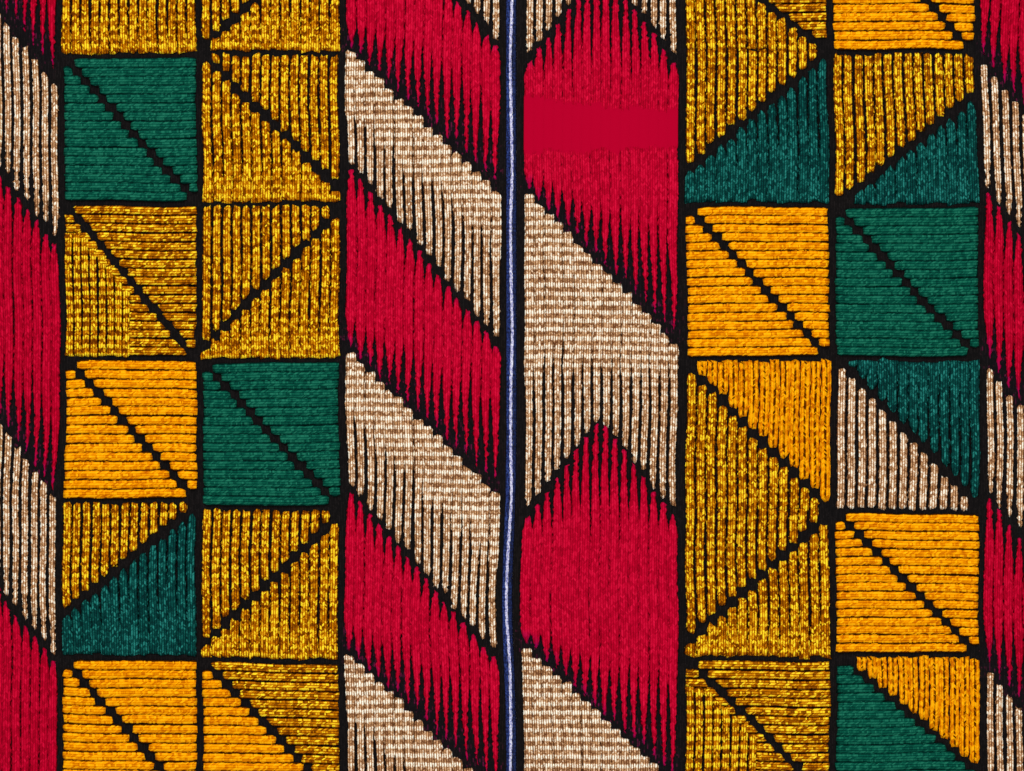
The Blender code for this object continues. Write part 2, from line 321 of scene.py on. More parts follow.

# Thread colours, display red, green, blue from 0 to 255: painted shade in the dips, also taken by
# darker dashes; the thread's colour along it; painted highlight where it catches the light, also
# taken by lighter dashes; and painted shade in the groove between two ribs
TONES = {
    "red": ((128, 1, 20), (180, 3, 39), (216, 20, 60), (78, 0, 10)),
    "cream": ((100, 54, 22), (206, 154, 104), (255, 250, 230), (60, 30, 10)),
    "gold": ((92, 34, 0), (196, 112, 0), (255, 222, 40), (46, 12, 0)),
    "yellow": ((172, 72, 0), (236, 144, 0), (255, 182, 14), (62, 24, 0)),
    "green": ((2, 42, 36), (8, 80, 62), (34, 112, 88), (0, 28, 24)),
    "teal": ((4, 28, 30), (8, 68, 62), (44, 138, 128), (2, 18, 20)),
}
SATIN_RED = (172, 1, 39)
WORN_RED = (140, 4, 76)
# Colours of the ground, dark, middle and bright, taken by its dashes at random and as painted shade
# and highlight, its colour around the red tips, and its flecks there
BLACK = ((6, 5, 6), (13, 10, 10), (26, 22, 22))
WORN_BLACK = (14, 6, 18)
FLECKS = (150, 16, 90)
# Colours of the cords: dark, middle and bright, taken by their mottling and as painted shade between
# their threads and painted highlight on them
BLUE = ((6, 11, 38), (16, 30, 82), (50, 72, 142))
NAVY = ((5, 8, 28), (10, 21, 60), (32, 50, 104))
PALE = ((84, 92, 160), (178, 176, 218), (250, 248, 255))

Rib = namedtuple(
    "Rib", "axis number centre low high start end first last full slants pitch rows level tone worn split",
    defaults=(0.0, 0.0, 0.0, False),
)
# Across a rib: place from -1 to 1, height from 0 to 1
SECTION = np.array([(-1.0, 0.0), (-0.86, 0.82), (0.0, 1.0), (0.86, 0.82), (1.0, 0.0)])
FLAT_SECTION = np.array([(-1.0, 0.74), (-0.9, 0.86), (0.0, 0.86), (0.9, 0.86), (1.0, 0.74)])
# How near each place is to a groove's painted shade: beside the rib alone, or along its middle too
SIDES = np.abs(SECTION[:, 0])
SPLIT_SIDES = np.array([1.0, 0.3, 0.85, 0.3, 1.0])
# Values kept at each point for the materials
FACTS = ("tip", "tone", "rows", "side", "satin")


def strip_width(strip):
    return sum(width for _, _, width, _ in COLUMNS[strip])


def strip_start(strip):
    return JOIN if strip == "right" else -JOIN - strip_width("left")


def columns_of(strip):
    """Each column of a strip with where it starts."""
    start = strip_start(strip)
    for name, kind, width, count in COLUMNS[strip]:
        yield name, kind, start, width, count
        start += width


def away_from_ends(y):
    """1 over most of the length, falling to 0 at the cut ends, which stay square."""
    return np.clip((HALF_LENGTH - np.abs(y)) / ROW, 0.0, 1.0)


def lean_at(x, y):
    """Sideways wander of the columns: for each lean a bell curve along the warp, times one that
    fades away from its middle across the cloth."""
    total = 0.0 * (x + y)
    for lean in LEANS:
        along = np.exp(-(((y - lean.y) / lean.length) ** 2))
        across = np.exp(-np.abs((x - lean.x) / lean.reach) ** 1.5)
        total = total + lean.amount * along * across
    return total * away_from_ends(y)


def waves(table, first, second):
    """Sum of sine waves that run along the first direction and turn slowly with the second."""
    return sum(size * np.sin(first / near + second / far) for size, near, far in table)


def on_cloth(strip, x, y):
    """Where the point (x, y) of the true grid lies: moved by the leans, by the drop of the weft in
    proportion to the distance from the join, and by slow waves a tenth of a millimetre high."""
    heights, drops = zip(*WEFT_DROPS[strip])
    side = 1.0 if strip == "right" else -1.0
    from_join = (x - side * JOIN) / strip_width(strip)
    drop = np.interp(y, heights, drops) * from_join * away_from_ends(y)
    inside = away_from_ends(y) * np.clip(np.abs(from_join) * 20.0, 0.0, 1.0)
    aside = lean_at(x, y)
    return x + aside + waves(WAVES_ASIDE, y, x) * inside, y - drop + waves(WAVES_ALONG, x, y) * inside


def linear(tone):
    """Display colour from 0 to 255 to the linear colour that a shader takes."""
    share = np.array(tone) / 255.0
    value = np.where(share <= 0.04045, share / 12.92, ((share + 0.055) / 1.055) ** 2.4)
    return (*value.tolist(), 1.0)


def tapered(distance, taper):
    """A taper's share of the full width at a distance from the rib's end."""
    shape, run = taper
    places, widths = zip(*SHAPES[shape])
    return np.interp(distance / max(run, 1e-6), places, widths)


def height_of(line, x, start, width):
    """Height of a zigzag line at x: a straight slope with a peak in the middle of the column."""
    left, right, rise = line
    across = (x - start) / width
    return left + (right - left) * across + rise * (1 - abs(2 * across - 1))


def slope_of(line, x, start, width):
    """Slope of a zigzag line at x."""
    left, right, rise = line
    return (right - left + (2 * rise if x < start + width / 2 else -2 * rise)) / width


def off_repeat(column, colour, side, copy, share):
    """How far a zigzag line lies off its even repeat, at a share of the way across the column."""
    left, right = UNEVEN.get((column, colour, side, copy), (0.0, 0.0))
    return left + (right - left) * share


def zigzag_ribs(column, start, width, count, colour, rng):
    """Warp ribs of one colour in a zigzag column, each from its band's lower line to its upper one."""
    period, bands = ZIGZAGS[column]
    band = bands[colour]
    pitch = width / count
    ribs = []
    for copy in range(-COPIES, COPIES + 1):
        for i in range(count):
            x = start + pitch * (i + 0.5)
            heights = [height_of(line, x, start, width) + period * copy for line in band[:4]]
            off_top, off_bottom = (
                off_repeat(column, colour, side, copy, (i + 0.5) / count) for side in ("upper", "lower")
            )
            top = heights[0] + off_top + rng.normal(0, ZIGZAG_UNEVEN[0])
            bottom = heights[3] + off_bottom + rng.normal(0, ZIGZAG_UNEVEN[1])
            low, high = max(bottom, -HALF_PATTERN), min(top, HALF_PATTERN)
            if high - low < SHORTEST:
                continue
            slants = tuple(
                share * slope_of(line, x, start, width)
                for share, line in zip(ZIGZAG_SLANTS, (band.lower, band.upper))
            )
            first = (band.first, (heights[2] - bottom) * rng.uniform(*ZIGZAG_TAPERS[0]))
            last = (band.last, (top - off_top - heights[1]) * rng.uniform(*ZIGZAG_TAPERS[1]))
            ribs.append(Rib(
                "w", i, x, low, high, bottom, top, first, last, band.full, slants, pitch,
                band.rows, tone=band.tone, worn=band.worn,
            ))
    return ribs


def warp_half(box, kind, above, diagonal, count, open_end, rng):
    """Warp ribs of one half of a block, each from an outline to the diagonal or across the block."""
    left, right, low, high = box
    style = STYLES[kind]
    pitch = (right - left) / count
    down, further = (diagonal[0], diagonal[1] - diagonal[0]) if diagonal else (0.0, 0.0)
    slope = -further * (high - low) / (right - left)
    full = style.full * (1.0 if above else BELOW_WIDER)
    ribs = []
    for i in range(count):
        x = left + pitch * (i + 0.5)
        cross = high - (high - low) * (down + further * (x - left) / (right - left))
        bottom = low + ROW_GAP + rng.normal(0, OUTLINE_UNEVEN)
        top = high - ROW_GAP + rng.normal(0, OUTLINE_UNEVEN)
        first, last, slants = style.bottom, style.top, [0.0, 0.0]
        slant = slope * style.slant * rng.uniform(*WARP_SLANTS)
        if open_end and above:
            top, last = high, ("even", 1.0)
        if open_end and not above:
            bottom, first = low, ("even", 1.0)
        if diagonal and above:
            bottom = max(bottom, cross + style.gap + rng.normal(0, DIAGONAL_UNEVEN))
            first, slants[0] = style.tip, slant
        if diagonal and not above:
            top = min(top, cross - style.gap + rng.normal(0, DIAGONAL_UNEVEN))
            last, slants[1] = style.tip, slant
        if top - bottom > SHORTEST:
            ribs.append(Rib(
                "w", i, x, bottom, top, bottom, top, first, last, full, slants, pitch,
                style.rows, style.level, split=style.split,
            ))
    return ribs


def weft_half(box, kind, above, diagonal, rng):
    """Weft ribs of one half of a block, each from a side of the block to the diagonal."""
    left, right, low, high = box
    style = STYLES[kind]
    count = round((high - low - 2 * ROW_GAP) / WEFT)
    pitch = (high - low - 2 * ROW_GAP) / count
    down, further = diagonal[0], diagonal[1] - diagonal[0]
    slope = -(right - left) / (further * (high - low))
    to_right = above == (further > 0)
    ribs = []
    for i in range(count):
        y = low + ROW_GAP + pitch * (i + 0.5)
        cross = left + (right - left) * ((high - y) / (high - low) - down) / further
        cross += rng.normal(0, DIAGONAL_UNEVEN)
        slant = -slope * style.slant * rng.uniform(*WEFT_SLANTS)
        start = left + INSET + rng.normal(0, INSET_UNEVEN)
        end = right - INSET + rng.normal(0, INSET_UNEVEN)
        first, last, slants = style.top, style.bottom, (0.0, 0.0)
        if to_right and cross + style.gap > start:
            start, first, slants = cross + style.gap, style.tip, (slant, 0.0)
        if not to_right and cross - style.gap < end:
            end, last, slants = cross - style.gap, style.tip, (0.0, slant)
        if end - start > SHORTEST:
            ribs.append(Rib(
                "f", i, y, start, end, start, end, first, last, style.full, slants, pitch,
                style.rows, style.level,
            ))
    return ribs


def grid_half(box, diagonal, rng):
    """Gold half below a falling diagonal, woven both ways. Weft ribs fill the upper corner, the edge
    along the diagonal and the side away from the border; warp ribs fill the rest of the near side."""
    left, right, low, high = box
    border = left + GRID_SHARE * (right - left)
    corner = high - GRID_CORNER
    ribs = []
    for rib in weft_half(box, "gold f", False, diagonal, rng):
        beside = min(border, rib.end - GRID_EDGE) - GRID_LAPS[0]
        start = rib.low if rib.centre > corner else max(rib.low, beside)
        ribs.append(rib._replace(low=start, start=start))
    for rib in warp_half(box, "gold w", False, diagonal, GRID_COUNT, False, rng):
        top = min(rib.high - GRID_STOP, corner + GRID_LAPS[1])
        if rib.centre < border and top - rib.low > 1.0:
            ribs.append(rib._replace(
                high=top, end=top, full=0.90, first=("spread", 3.0), last=("spread", 1.5), rows=1.8,
            ))
    return ribs


def block_ribs(column, start, width, count, colour, rng):
    """Ribs of one colour in a column of blocks."""
    ribs = []
    lines = ROW_LINES[column]
    for row, (upper, diagonal, lower) in enumerate(BLOCKS[column]):
        box = (start, start + width, lines[row + 1], lines[row])
        for kind, above in ((upper, True), (lower, False)):
            if kind.split()[0] != colour or (diagonal is None and not above):
                continue
            if kind.endswith("f"):
                ribs += weft_half(box, kind, above, diagonal, rng)
            elif kind.endswith("g"):
                ribs += grid_half(box, diagonal, rng)
            else:
                open_end = (column, row - 1 if above else row) in OPEN_BELOW
                ribs += warp_half(box, kind, above, diagonal, count, open_end, rng)
    return ribs


def rib_surface(rib, step, satin, rng):
    """One float rib as a closed tube with a flat side: SECTION carried along the rib. Its width is
    the full width times the two tapers, with two slow sine waves and frayed sides. Its height falls
    in a quarter circle at the ends and evenly where it is narrow, and rises a little at each weft
    row. Where satin is 1 the section is flat and a little wider than the pitch."""
    rings = max(FEWEST_RINGS, math.ceil((rib.high - rib.low) / step) + 1)
    share = np.linspace(0.0, 1.0, rings)[:, None]
    across = SECTION[None, :, 0]
    half = rib.pitch / 2
    calm = 1.0 if rib.axis == "w" else WEFT_CALM
    ragged = rng.normal(0.0, RAGGED * calm, (2, len(SECTION)))
    first = rib.low + (rib.slants[0] * across * half + ragged[0]) * (rib.low == rib.start)
    last = rib.high + (rib.slants[1] * across * half + ragged[1]) * (rib.high == rib.end)
    along = first + (last - first) * share
    from_start = np.abs(along - first) + (rib.low - rib.start)
    from_end = np.abs(last - along) + (rib.end - rib.high)
    wide = rib.full * tapered(from_start, rib.first) * tapered(from_end, rib.last)
    sleek = satin(rib.centre, along, rng) if satin else np.zeros_like(along)
    rough = 1.0 - sleek
    wide = wide * rough + SATIN_WIDTH * sleek
    phases = rng.uniform(0.0, 6.28, 3)
    wobble = WOBBLE * sum(np.sin(along / run + phase) for run, phase in zip(WOBBLE_LENGTHS, phases))
    aside = (SWAY * np.sin(along / SWAY_LENGTH + phases[2]) + rng.normal(0.0, SWAY)) * rough
    fray = rng.normal(0.0, FRAYED * calm, along.shape) * np.abs(across) * rough
    fray = fray * (1.0 + FRAYS_MORE * (wide < NARROW))
    level = np.maximum(sleek, rib.level)
    place = across * (1.0 - level) + FLAT_SECTION[None, :, 0] * level
    offset = place * half * wide * (1.0 + wobble * rough) + aside + fray
    near = np.minimum(from_start, from_end)
    dome = np.sqrt(1.0 - np.clip(1.0 - near / END_ROUND, 0.0, 1.0) ** 2)
    rise = (CREST - GROUND) * (END_RISE + (1.0 - END_RISE) * dome)
    rise = rise * np.clip(wide / FULL_HEIGHT_AT, LEAST_HEIGHT, 1.0)
    if rib.axis == "w":
        rise = rise + ROW_RISE * rib.rows * np.cos(along * 2 * math.pi / WEFT)
    flat = FLAT_SECTION[None, :, 1] + STAGGER * (rib.number % 2)
    profile = SECTION[None, :, 1] * (1.0 - level) + flat * level
    height = GROUND - SUNK + (rise + SUNK) * profile
    tip = np.clip(1.0 - from_start / max(rib.worn, 0.1), 0.0, 1.0)
    tip = tip + UPPER_WORN[0] * np.clip(1.0 - from_end / UPPER_WORN[1], 0.0, 1.0)
    tone = np.full_like(along, rib.tone + rng.uniform(-1.0, 1.0))
    packed = np.clip((wide - ROWS_LEAST_AT) / ROWS_RETURN, 0.0, 1.0) if rib.full > PACKED else 1.0
    rows = rib.rows * (ROWS_LEFT + (1.0 - ROWS_LEFT) * packed) * np.ones_like(along)
    side = (SPLIT_SIDES if rib.split else SIDES) * rough
    thread = WARP_THREAD if rib.axis == "w" else WEFT_THREAD
    if rib.axis == "w":
        x, y, lean = rib.centre + offset, along, 0.0
    else:
        x, y, lean = along, rib.centre - offset, SHEAR
    weave = np.stack([THREADS * (rib.number + 0.5) + offset / thread, along + lean * offset], axis=-1)
    points = np.stack([x, y, height], axis=-1)
    facts = np.stack([tip, tone, rows, side, sleek], axis=-1)
    return points.reshape(-1, 3), weave.reshape(-1, 2), facts.reshape(-1, len(FACTS)), rings


def tube_faces(rings, sides):
    """Quads around and along a tube, and its two end caps as triangles."""
    ring = np.arange(sides)
    near = np.arange(rings - 1)[:, None] * sides + ring
    beside = np.arange(rings - 1)[:, None] * sides + (ring + 1) % sides
    quads = np.stack([near, beside, beside + sides, near + sides], axis=-1).reshape(-1, 4)
    fan = np.stack([np.zeros(sides - 2, int), ring[1:-1], ring[2:]], axis=-1)
    return quads, np.concatenate([fan[:, ::-1], fan + (rings - 1) * sides])


def joined_ribs(strip, ribs, step, satin, rng):
    """All the ribs as one set of points and faces, placed on the cloth."""
    points, weaves, facts, quads, caps = [], [], [], [], []
    total = 0
    for rib in ribs:
        place, weave, fact, rings = rib_surface(rib, step, satin, rng)
        sides, ends = tube_faces(rings, len(SECTION))
        points.append(place)
        weaves.append(weave)
        facts.append(fact)
        quads.append(sides + total)
        caps.append(ends + total)
        total += len(place)
    joined = [np.concatenate(parts) for parts in (points, weaves, facts, quads, caps)]
    place = joined[0]
    place[:, 0], place[:, 1] = on_cloth(strip, place[:, 0], place[:, 1])
    return joined


def new_piece(name, points, faces, weave, facts=None):
    """A mesh from points in millimetres, with the weave's own coordinates as its UV map."""
    mesh = bpy.data.meshes.new(name)
    mesh.from_pydata((points * MM).tolist(), [], faces)
    corners = np.empty(len(mesh.loops), np.int32)
    mesh.loops.foreach_get("vertex_index", corners)
    layer = mesh.uv_layers.new(name="weave")
    layer.data.foreach_set("uv", weave[corners].astype(np.float32).ravel())
    for i, label in enumerate(FACTS if facts is not None else ()):
        values = mesh.attributes.new(label, "FLOAT", "POINT")
        values.data.foreach_set("value", facts[:, i].astype(np.float32))
    mesh.shade_smooth()
    piece = bpy.data.objects.new(name, mesh)
    bpy.context.scene.collection.objects.link(piece)
    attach(piece, "root")
    return piece


def new_group(name, inputs, outputs):
    """An empty shader node group with the sockets given: name, socket type and first value. It comes
    with the sockets that its inner nodes take from and give to."""
    group = bpy.data.node_groups.new(name, "ShaderNodeTree")
    for label, kind, value in inputs:
        socket = group.interface.new_socket(label, in_out="INPUT", socket_type="NodeSocket" + kind)
        if value is not None:
            socket.default_value = value
    for label, kind in outputs:
        group.interface.new_socket(label, in_out="OUTPUT", socket_type="NodeSocket" + kind)
    given, out = group.nodes.new("NodeGroupInput"), group.nodes.new("NodeGroupOutput")
    return group, given.outputs, out.inputs


class Wires:
    """Short calls that add nodes to a tree and join them."""

    def __init__(self, tree):
        self.tree = tree

    def put(self, socket, value):
        if isinstance(value, bpy.types.NodeSocket):
            self.tree.links.new(value, socket)
        elif value is not None:
            socket.default_value = value

    def math(self, operation, first, second=None, third=None, clamp=False):
        node = self.tree.nodes.new("ShaderNodeMath")
        node.operation = operation
        node.use_clamp = clamp
        for socket, value in zip(node.inputs, (first, second, third)):
            self.put(socket, value)
        return node.outputs[0]

    def mix(self, factor, first, second):
        """Colour between two colours. Inputs 6 and 7 and output 2 are the colour sockets."""
        node = self.tree.nodes.new("ShaderNodeMix")
        node.data_type = "RGBA"
        self.put(node.inputs["Factor"], factor)
        self.put(node.inputs[6], first)
        self.put(node.inputs[7], second)
        return node.outputs[2]

    def joined(self, x, y=0.0, z=0.0):
        node = self.tree.nodes.new("ShaderNodeCombineXYZ")
        for socket, value in zip(node.inputs, (x, y, z)):
            self.put(socket, value)
        return node.outputs[0]

    def noise(self, vector, scale, detail):
        node = self.tree.nodes.new("ShaderNodeTexNoise")
        self.put(node.inputs["Vector"], vector)
        node.inputs["Scale"].default_value = scale
        node.inputs["Detail"].default_value = detail
        return node.outputs["Fac"]

    def fact(self, name):
        node = self.tree.nodes.new("ShaderNodeAttribute")
        node.attribute_name = name
        return node.outputs["Fac"]

    def weave(self):
        node = self.tree.nodes.new("ShaderNodeUVMap")
        node.uv_map = "weave"
        return node.outputs["UV"]

    def apart(self, vector):
        node = self.tree.nodes.new("ShaderNodeSeparateXYZ")
        self.put(node.inputs[0], vector)
        return node.outputs

    def chance(self, x, y=0.0, z=0.0):
        """Random values that stay the same over one cell: a number, then three more."""
        node = self.tree.nodes.new("ShaderNodeTexWhiteNoise")
        node.noise_dimensions = "3D"
        self.put(node.inputs["Vector"], self.joined(x, y, z))
        return node.outputs["Value"], self.apart(node.outputs["Color"])

    def group(self, group, **values):
        node = self.tree.nodes.new("ShaderNodeGroup")
        node.node_tree = group
        for label, value in values.items():
            self.put(node.inputs[label], value)
        return node.outputs


def thread_dashes():
    """Threads side by side along X of the weave, each a row of dashes of uneven length. Height is a
    rounded dash, Shade a random value for each dash around 0, Glint the few dashes, more of them on
    the rows, that the floss lights with a painted highlight, and Row the weft rows across the threads
    at each Pitch, around 0, for painted highlight on them and painted shade between them. Dash is the
    usual length of a dash, and Slant how far a thread's far side runs behind its near side, and
    before it on every other thread."""
    group, given, out = new_group(
        "Thread Dashes",
        (("Weave", "Vector", None), ("Thread", "Float", 1.0), ("Dash", "Float", 0.85),
         ("Slant", "Float", 0.0), ("Pitch", "Float", WEFT)),
        (("Height", "Float"), ("Shade", "Float"), ("Glint", "Float"), ("Row", "Float")),
    )
    w = Wires(group)
    place = w.apart(given["Weave"])
    across = w.math("DIVIDE", place["X"], given["Thread"])
    thread = w.math("FLOOR", across)
    part = w.math("FRACT", across)
    own = w.chance(thread)[1]
    sign = w.math("MULTIPLY_ADD", w.math("FLOORED_MODULO", thread, 2.0), -2.0, 1.0)
    slant = w.math("MULTIPLY", sign, given["Slant"])
    along = w.math("MULTIPLY_ADD", part, slant, place["Y"])
    along = w.math("DIVIDE", along, given["Dash"])
    along = w.math("MULTIPLY_ADD", own["X"], 40.0, along)
    uneven = w.noise(w.joined(w.math("MULTIPLY", thread, 5.3), along, 0.5), 0.6, 0.0)
    along = w.math("MULTIPLY_ADD", uneven, 2.6, along)
    shade, more = w.chance(thread, w.math("FLOOR", along), 3.0)
    side = w.math("ABSOLUTE", w.math("MULTIPLY_ADD", part, 2.0, -1.0))
    ends = w.math("ABSOLUTE", w.math("MULTIPLY_ADD", w.math("FRACT", along), 2.0, -1.0))
    round_side = w.math("SUBTRACT", 1.0, w.math("POWER", side, 2.0))
    round_ends = w.math("MULTIPLY_ADD", w.math("POWER", ends, 4.0), -0.6, 1.0)
    height = w.math("MULTIPLY", round_side, round_ends)
    shifted = w.math("MULTIPLY_ADD", own["Y"], 0.16, place["Y"])
    turn = w.math("DIVIDE", shifted, given["Pitch"])
    wave = w.math("COSINE", w.math("MULTIPLY", turn, 2 * math.pi))
    row = w.math("MULTIPLY_ADD", wave, 1.3, 0.3, clamp=True)
    lucky = w.math("MULTIPLY_ADD", more["Y"], 4.0, -3.2)
    lucky = w.math("MULTIPLY_ADD", row, 0.8, lucky, clamp=True)
    w.put(out["Height"], height)
    w.put(out["Shade"], w.math("SUBTRACT", shade, 0.5))
    w.put(out["Glint"], w.math("MULTIPLY", lucky, height))
    w.put(out["Row"], w.math("MULTIPLY", w.math("SUBTRACT", row, 0.3), round_side))
    return group


def four_tones():
    """Dark below a shade of 0, Mid at one half, Bright above 1, with even blends between, and the
    painted shade of a groove where Side goes beyond Edge, as strong as Depth."""
    group, given, out = new_group(
        "Four Tones",
        (("Shade", "Float", 0.5), ("Side", "Float", 0.0), ("Edge", "Float", 0.8),
         ("Depth", "Float", 1.0), ("Dark", "Color", None),
         ("Mid", "Color", None), ("Bright", "Color", None), ("Groove", "Color", None)),
        (("Color", "Color"),),
    )
    w = Wires(group)
    low = w.math("MULTIPLY", given["Shade"], 2.0, clamp=True)
    high = w.math("MULTIPLY_ADD", given["Shade"], 2.0, -1.0, clamp=True)
    lower = w.mix(low, given["Dark"], given["Mid"])
    upper = w.mix(high, lower, given["Bright"])
    deep = w.math("SUBTRACT", given["Side"], given["Edge"])
    deep = w.math("MULTIPLY", deep, 9.0, clamp=True)
    deep = w.math("MULTIPLY", deep, given["Depth"])
    w.put(out["Color"], w.mix(deep, upper, given["Groove"]))
    return group


# How each thread shows: painted shade in the dips, the painted highlight of its rise up a dash, the
# random part from dash to dash, the shares of the painted highlight and shade of the weft rows, of
# the rib's tone and of the painted glints; then depth of the painted shade in the groove and where
# across the rib it begins, dash length, slant, roughness and bump height
Finish = namedtuple("Finish", "base height dash row tone glint groove edge length slant rough bump")
FINISHES_AND_PAINTED_LIGHT = {
    "red": Finish(0.18, 0.46, 0.50, 0.0, 0.02, 0.15, 0.80, 0.86, 0.52, 0.35, 0.55, 0.02),
    "cream": Finish(-0.20, 0.90, 0.64, 0.62, 0.02, 0.25, 0.60, 0.84, 0.52, 0.28, 0.50, 0.03),
    "gold": Finish(-0.02, 0.58, 0.84, 0.35, 0.02, 0.66, 0.95, 0.82, 0.44, 0.28, 0.50, 0.03),
    "yellow": Finish(0.20, 0.48, 0.72, 0.20, 0.02, 0.0, 1.0, 0.70, 0.36, 0.28, 0.62, 0.01),
    "green": Finish(0.06, 0.62, 0.64, 0.0, 0.02, 0.0, 0.9, 0.72, 0.36, 0.28, 0.62, 0.01),
    "teal": Finish(0.0, 0.58, 0.64, 0.0, 0.03, 0.10, 0.60, 0.84, 0.48, 0.28, 0.55, 0.03),
}


def new_material(name):
    material = bpy.data.materials.new(name)
    material.use_nodes = True
    return material, Wires(material.node_tree), material.node_tree.nodes["Principled BSDF"].inputs


def bump(w, height, distance):
    node = w.tree.nodes.new("ShaderNodeBump")
    node.inputs["Strength"].default_value = 1.0
    node.inputs["Distance"].default_value = distance * MM
    w.put(node.inputs["Height"], height)
    return node.outputs["Normal"]


def thread_material(colour, groups):
    """Lustrous floss of one colour, with the thread dashes and weft rows in relief and in colour. The
    colour holds painted shade and painted highlight as well as the random tones of the dashes.
    """
    finish_and_painted_light = FINISHES_AND_PAINTED_LIGHT[colour]
    dark, mid, bright, groove = (linear(tone) for tone in TONES[colour])
    material, w, shader = new_material("floss_" + colour)
    dashes = w.group(groups["dashes"], Weave=w.weave(), Dash=finish_and_painted_light.length, Slant=finish_and_painted_light.slant)
    # Shade of the floss: each dash's random tone, painted shade between the threads and at the dash ends
    # with painted highlight on the dash tops, painted highlight on the weft rows and painted shade between
    # them, the rib's tone, and painted glints. The rows also go into the bump.
    row_highlight_and_relief = w.math("MULTIPLY", dashes["Row"], w.fact("rows"))
    shade = w.math("MULTIPLY_ADD", dashes["Shade"], finish_and_painted_light.dash, finish_and_painted_light.base)
    shade = w.math("MULTIPLY_ADD", dashes["Height"], finish_and_painted_light.height, shade)
    shade = w.math("MULTIPLY_ADD", row_highlight_and_relief, finish_and_painted_light.row, shade)
    shade = w.math("MULTIPLY_ADD", w.fact("tone"), finish_and_painted_light.tone, shade)
    shade = w.math("MULTIPLY_ADD", dashes["Glint"], finish_and_painted_light.glint, shade)
    # Where across the rib the painted shade of the groove begins, a little uneven from dash to dash
    edge = w.math("MULTIPLY_ADD", dashes["Shade"], 0.16, finish_and_painted_light.edge)
    color = w.group(
        groups["tones"], Shade=shade, Side=w.fact("side"), Edge=edge, Depth=finish_and_painted_light.groove,
        Dark=dark, Mid=mid, Bright=bright, Groove=groove,
    )["Color"]
    normal = bump(w, w.math("ADD", dashes["Height"], row_highlight_and_relief), finish_and_painted_light.bump)
    if colour == "red":
        worn = w.math("MULTIPLY", w.fact("tip"), w.math("ADD", dashes["Shade"], 0.6), clamp=True)
        color = w.mix(worn, color, linear(WORN_RED))
        sleek = w.math("MULTIPLY_ADD", dashes["Shade"], 0.7, w.fact("satin"))
        sleek = w.math("MULTIPLY_ADD", sleek, 8.0, -3.5, clamp=True)
        color = w.mix(sleek, color, linear(SATIN_RED))
        even = w.tree.nodes.new("ShaderNodeNewGeometry").outputs["True Normal"]
        normal = w.mix(sleek, normal, even)
    w.put(shader["Base Color"], color)
    w.put(shader["Roughness"], w.math("MULTIPLY_ADD", dashes["Shade"], -0.10, finish_and_painted_light.rough + 0.05))
    w.put(shader["Normal"], normal)
    shader["Specular IOR Level"].default_value = 0.20
    shader["Specular Tint"].default_value = bright
    return material


def ground_material(groups):
    """Black ground cloth of fine matt threads, violet with red flecks around the red tips, with painted
    shade between its threads and painted highlight on them.
    """
    dark, mid, bright = (linear(tone) for tone in BLACK)
    material, w, shader = new_material("black_ground")
    dashes = w.group(groups["dashes"], Weave=w.weave(), Thread=GROUND_THREAD, Dash=0.6, Slant=0.1)
    shade = w.math("MULTIPLY_ADD", dashes["Shade"], 0.5, 0.25)
    # Painted shade between the threads and at the dash ends, painted highlight on the dash tops
    shade = w.math("MULTIPLY_ADD", dashes["Height"], 0.5, shade)
    tones = w.group(groups["tones"], Shade=shade, Depth=0.0, Dark=dark, Mid=mid, Bright=bright)
    tip = w.fact("tip")
    color = w.mix(w.math("MULTIPLY", tip, 0.3), tones["Color"], linear(WORN_BLACK))
    fleck = w.math("MULTIPLY", dashes["Glint"], w.math("ADD", dashes["Shade"], 0.1, clamp=True))
    color = w.mix(w.math("MULTIPLY", fleck, tip), color, linear(FLECKS))
    w.put(shader["Base Color"], color)
    w.put(shader["Roughness"], w.math("MULTIPLY_ADD", dashes["Shade"], 0.15, 0.75))
    w.put(shader["Normal"], bump(w, dashes["Height"], 0.03))
    shader["Specular IOR Level"].default_value = 0.05
    return material


def cord_material(name, groups, tones, slant):
    """Spun yarn: short slanting dashes in three tones, mottled, with painted shade between the threads
    and painted highlight on them.
    """
    dark, mid, bright = (linear(tone) for tone in tones)
    material, w, shader = new_material(name)
    weave = w.weave()
    dashes = w.group(groups["dashes"], Weave=weave, Thread=CORD_THREAD, Dash=0.6, Slant=slant)
    fluff = w.noise(weave, 3.0, 3.0)
    shade = w.math("MULTIPLY_ADD", fluff, 2.4, -0.9)
    shade = w.math("MULTIPLY_ADD", dashes["Shade"], 0.5, shade)
    # Painted shade between the threads and at the dash ends, painted highlight on the dash tops
    shade = w.math("MULTIPLY_ADD", dashes["Height"], 0.4, shade)
    tones = w.group(groups["tones"], Shade=shade, Depth=0.0, Dark=dark, Mid=mid, Bright=bright)
    w.put(shader["Base Color"], tones["Color"])
    w.put(shader["Roughness"], w.math("MULTIPLY_ADD", dashes["Shade"], 0.2, 0.65))
    w.put(shader["Normal"], bump(w, dashes["Height"], 0.04))
    shader["Specular IOR Level"].default_value = 0.15
    return material


